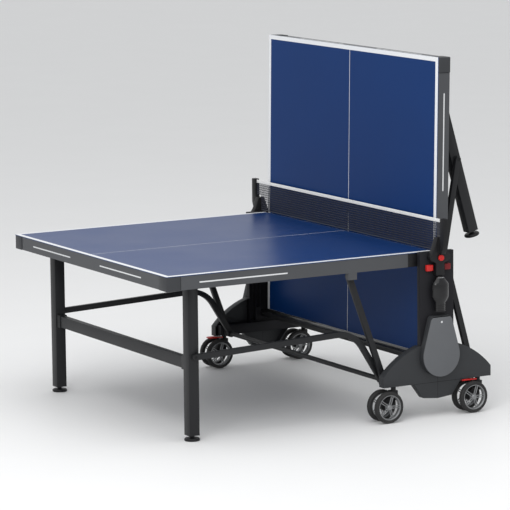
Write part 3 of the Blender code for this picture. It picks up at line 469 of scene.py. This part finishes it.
def dress_caster(name):
    low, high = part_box(f"caster_wheels_{name}")
    centre = (low + high) / 2
    radius = (high.z - low.z) / 2
    half = (high.y - low.y) / 2
    inner = 0.019
    body = f"caster_wheels_{name}"
    tyres = bmesh.new()
    rims = bmesh.new()
    for side in (-1, 1):
        rim = radius - 0.016
        profile = [(rim, inner + 0.002), (radius - 0.006, inner), (radius - 0.002, inner + 0.003)]
        middle = (inner + half) / 2
        for groove in (-0.005, 0.005):
            place = middle + groove
            profile += [(radius - 0.0004, place - 0.002), (radius - 0.0018, place - 0.0008),
                        (radius - 0.0018, place + 0.0008), (radius - 0.0004, place + 0.002)]
        profile += [(radius - 0.002, half - 0.003), (radius - 0.006, half), (rim, half - 0.002)]
        lathe(tyres, [(r, side * d) for r, d in profile], 56, "Y", centre)
        hoop = [(rim + 0.0005, inner + 0.003), (rim - 0.005, inner + 0.004), (rim - 0.005, half - 0.006),
                (rim - 0.002, half - 0.0015), (rim + 0.0005, half - 0.002)]
        lathe(rims, [(r, side * d) for r, d in hoop], 56, "Y", centre)
        hub = [(0.0, half - 0.001), (0.010, half - 0.001), (0.013, half - 0.004), (0.015, half - 0.010),
               (0.015, inner + 0.004), (0.006, inner + 0.001)]
        lathe(rims, [(r, side * d) for r, d in hub], 32, "Y", centre)
        for spoke in range(5):
            for lean in (-0.0045, 0.0045):
                verts = block(rims, (lean - 0.0020, side * (half - 0.011), 0.010),
                              (lean + 0.0020, side * (half - 0.005), rim - 0.003), 0.0008, 1)
                turn = Matrix.Translation(centre) @ Matrix.Rotation(spoke * 2.0 * math.pi / 5.0 + 0.3, 4, "Y")
                bmesh.ops.transform(rims, matrix=turn, verts=verts)
    lathe(rims, [(0.006, -inner - 0.006), (0.006, inner + 0.006)], 24, "Y", centre)
    made = piece(tyres, f"tyres_{name}", body, "tyre", 50.0)
    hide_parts(f"caster_wheels_{name}")
    piece(rims, f"rims_{name}", body, "rim")
    softened(f"caster_fork_{name}", "plastic", 0.0015)


def dress_casters():
    for word in SIDES:
        for letter in HALVES:
            dress_caster(f"{word}_{letter}")
    for name in ("near_b", "far_a"):
        softened(f"brake_pedal_{name}", "red", 0.0015)


# ------------------------------------------------------------------ chassis

def dress_chassis():
    for word, side in SIDES.items():
        softened(f"upright_{word}", "panel", 0.0012)
        softened(f"pod_{word}", "pod", 0.0020)
        softened(f"bat_box_{word}", "pod", 0.0012)
        softened(f"bat_lid_{word}", "lid", 0.0014)
        softened(f"net_post_{word}", "plastic", 0.0015)
        ball_tube(word, side)
        knob(word, side)
        lid_dot(word, side)
        for letter in HALVES:
            # the buttons in the bracket's shadow get the red plastic with painted shade
            in_bracket_shade = (word, letter) in (("near", "b"), ("far", "a"))
            softened(f"release_button_{word}_{letter}", "shaded_red" if in_bracket_shade else "red", 0.0008)


def ball_tube(word, side):
    """The bottle-shaped ball holder: a smooth turned shell, a pale neck ring and a pale dot near the foot
    that is a painted glint on its screw.
    """
    low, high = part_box(f"ball_tube_{word}")
    centre = (low + high) / 2
    radius, flat = (high.x - low.x) / 2, (high.y - low.y) / 2
    height = high.z - low.z
    in_bracket_shade = [(0.0, height), (0.011, height), (0.0165, height - 0.0015), (0.0185, height - 0.004),
             (0.028, height - 0.017), (0.037, height - 0.027), (radius - 0.001, height - 0.035),
             (radius, height - 0.040), (radius, 0.070), (radius - 0.0015, 0.063), (0.036, 0.052),
             (0.0275, 0.041), (0.0265, 0.038)]
    for rib in (0.032, 0.024, 0.016, 0.008):
        in_bracket_shade += [(0.0268, rib + 0.003), (0.0256, rib + 0.001), (0.0256, rib - 0.001), (0.0268, rib - 0.003)]
    in_bracket_shade += [(0.0268, 0.0)]
    inner = [(0.0242, 0.0), (0.0242, 0.039), (0.033, 0.052), (radius - 0.003, 0.070),
             (radius - 0.003, height - 0.041), (0.026, height - 0.020),
             (0.014, height - 0.0035), (0.0, height - 0.0035)]
    shape = bmesh.new()
    lathe(shape, in_bracket_shade + inner, 48, "Z")
    bmesh.ops.scale(shape, vec=(1.0, flat / radius, 1.0), verts=shape.verts)
    bmesh.ops.translate(shape, vec=(centre.x, centre.y, low.z), verts=shape.verts)
    made = piece(shape, f"ball_bottle_{word}", "chassis", "smoke", 40.0)
    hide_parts(f"ball_tube_{word}")
    ring = bmesh.new()
    lathe(ring, [(0.0175, height - 0.009), (0.0202, height - 0.009), (0.0202, height - 0.0065),
                 (0.0172, height - 0.0065)], 40, "Z")
    bmesh.ops.scale(ring, vec=(1.0, flat / radius * 1.05, 1.0), verts=ring.verts)
    bmesh.ops.translate(ring, vec=(centre.x, centre.y, low.z), verts=ring.verts)
    piece(ring, f"neck_ring_{word}", "chassis", "strip")
    # painted highlight: a pale dot where light glints on the screw near the bottle's foot
    glint = bmesh.new()
    lathe(glint, [(0.0, side * 0.003), (0.003, side * 0.003), (0.0045, side * 0.0015), (0.0045, -side * 0.004),
                 (0.0, -side * 0.004)], 20, "Y", (centre.x, centre.y + side * (flat - 0.004), low.z + 0.072))
    piece(glint, f"ball_glint_{word}", "chassis", "strip")


def lid_dot(word, side):
    """The small round catch near the top of a bat box's lid."""
    low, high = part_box(f"bat_lid_{word}")
    face = high.y if side > 0 else low.y
    shape = bmesh.new()
    lathe(shape, [(0.0, side * 0.0012), (0.004, side * 0.0012), (0.005, 0.0), (0.0, 0.0)], 24, "Y",
          ((low.x + high.x) / 2, face, high.z - 0.022))
    piece(shape, f"lid_catch_{word}", f"bat_lid_{word}", "strip")


def knob(word, side):
    """A red knob with finger hollows round its rim."""
    low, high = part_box(f"net_knob_{word}")
    centre = (low + high) / 2
    radius, depth = (high.x - low.x) / 2, high.y - low.y
    start = low.y if side > 0 else high.y
    shape = bmesh.new()
    lathe(shape, [(0.0, side * depth * 0.80), (radius * 0.45, side * depth * 0.80),
                  (radius * 0.55, side * depth), (radius * 0.88, side * depth),
                  (radius, side * depth * 0.80), (radius, side * depth * 0.15),
                  (radius * 0.9, 0.0), (0.0, 0.0)], 60, "Y", (centre.x, start, centre.z))
    for vert in shape.verts:
        away = Vector((vert.co.x - centre.x, 0.0, vert.co.z - centre.z))
        if away.length > radius * 0.8:
            angle = math.atan2(away.z, away.x)
            pull = 1.0 - 0.09 * max(0.0, math.cos(angle * 8.0))
            vert.co.x = centre.x + away.x * pull
            vert.co.z = centre.z + away.z * pull
    made = piece(shape, f"knob_grip_{word}", f"net_knob_{word}", "red", 40.0)
    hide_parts(f"net_knob_{word}")


# ------------------------------------------------------------------ net

def dress_net():
    """Knotted cords between the posts under a folded white tape."""
    low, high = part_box("net")
    tape_bottom = high.z - 0.015
    foot_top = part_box("net_post_far")[0].y
    pitch = CORD_PITCH
    cord = 0.0011
    shape = bmesh.new()
    bottom = low.z + 0.001
    rows = int((tape_bottom - bottom) / pitch)
    columns = int((high.y - low.y) / pitch)
    short = foot_top - 0.0006
    for column in range(columns + 1):
        y = low.y + 0.001 + (high.y - low.y - 0.002) * column / columns
        start = bottom if abs(y) < short else 0.8372
        block(shape, (NET_X - cord, y - cord, start), (NET_X + cord, y + cord, tape_bottom + 0.001))
    for row in range(rows + 1):
        z = bottom + (tape_bottom - bottom) * row / rows
        reach = high.y if z > 0.8372 else short
        thick = cord * (1.8 if row == 0 else 1.0)
        block(shape, (NET_X - thick, -reach, z - thick), (NET_X + thick, reach, z + thick))
    mesh = piece(shape, "net_mesh", "chassis", "net")
    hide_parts("net")
    tape = bmesh.new()
    half = 0.0022
    outline = [(-half, tape_bottom), (-half, high.z - 0.0024), (-half * 0.6, high.z - 0.0006), (0.0, high.z),
               (half * 0.6, high.z - 0.0006), (half, high.z - 0.0024), (half, tape_bottom)]
    start = [tape.verts.new((NET_X + x, low.y, z)) for x, z in outline]
    edges = [tape.edges.new(pair) for pair in zip(start, start[1:])]
    grown = bmesh.ops.extrude_edge_only(tape, edges=edges)
    moved = [item for item in grown["geom"] if isinstance(item, bmesh.types.BMVert)]
    bmesh.ops.translate(tape, verts=moved, vec=(0.0, high.y - low.y, 0.0))
    band = piece(tape, "net_tape", "chassis", "tape", 60.0)


# ------------------------------------------------------------------ room, light and camera

def stage():
    floor_shape = bmesh.new()
    bmesh.ops.create_grid(floor_shape, x_segments=1, y_segments=1, size=60.0)
    mesh = bpy.data.meshes.new("floor")
    floor_shape.to_mesh(mesh)
    floor_shape.free()
    finish = Finish("pale_floor", 0.6, specular=0.2)
    finish.set("Base Color", finish.blend(finish.noise(2.0), (0.80, 0.80, 0.80), (0.82, 0.82, 0.82)))
    mesh.materials.append(finish.material)
    floor = bpy.data.objects.new("floor", mesh)
    bpy.context.scene.collection.objects.link(floor)
    floor.location.z = -0.0005
    world = bpy.data.worlds.new("studio")
    world.use_nodes = True
    world.node_tree.nodes["Background"].inputs["Color"].default_value = (0.93, 0.94, 0.95, 1.0)
    world.node_tree.nodes["Background"].inputs["Strength"].default_value = 0.82
    bpy.context.scene.world = world
    bpy.context.scene.view_settings.view_transform = "Standard"
    for name, place, size, power in (("overhead", (-1.0, -1.5, 6.0), 7.0, 190.0),
                                     ("key", (-5.0, -5.0, 4.5), 3.0, 150.0)):
        light = bpy.data.lights.new(name, "AREA")
        light.size = size
        light.energy = power
        lamp = bpy.data.objects.new(name, light)
        lamp.location = place
        ahead = Vector((NET_X - 0.3, 0.0, 0.7)) - Vector(place)
        lamp.rotation_euler = ahead.to_track_quat("-Z", "Y").to_euler()
        bpy.context.scene.collection.objects.link(lamp)


def camera():
    yaw, pitch, roll = (math.radians(angle) for angle in (29.579, 8.788, -0.608))
    ahead = Vector((math.sin(yaw) * math.cos(pitch), math.cos(yaw) * math.cos(pitch), -math.sin(pitch)))
    right = Vector((math.cos(yaw), -math.sin(yaw), 0.0))
    up = right.cross(ahead)
    turned_right = math.cos(roll) * right + math.sin(roll) * up
    turned_up = math.cos(roll) * up - math.sin(roll) * right
    lens = bpy.data.cameras.new("camera")
    lens.sensor_width = 36.0
    lens.lens = 3144.0 / 510.0 * 36.0
    lens.clip_end = 200.0
    made = bpy.data.objects.new("camera", lens)
    bpy.context.scene.collection.objects.link(made)
    axes = Matrix((turned_right, turned_up, -ahead)).transposed().to_4x4()
    made.matrix_world = Matrix.Translation((NET_X - 7.671, -12.644, 2.931)) @ axes
    bpy.context.scene.camera = made


dress_halves()
dress_frames()
dress_casters()
dress_chassis()
dress_net()
stage()
camera()
bpy.context.view_layer.update()
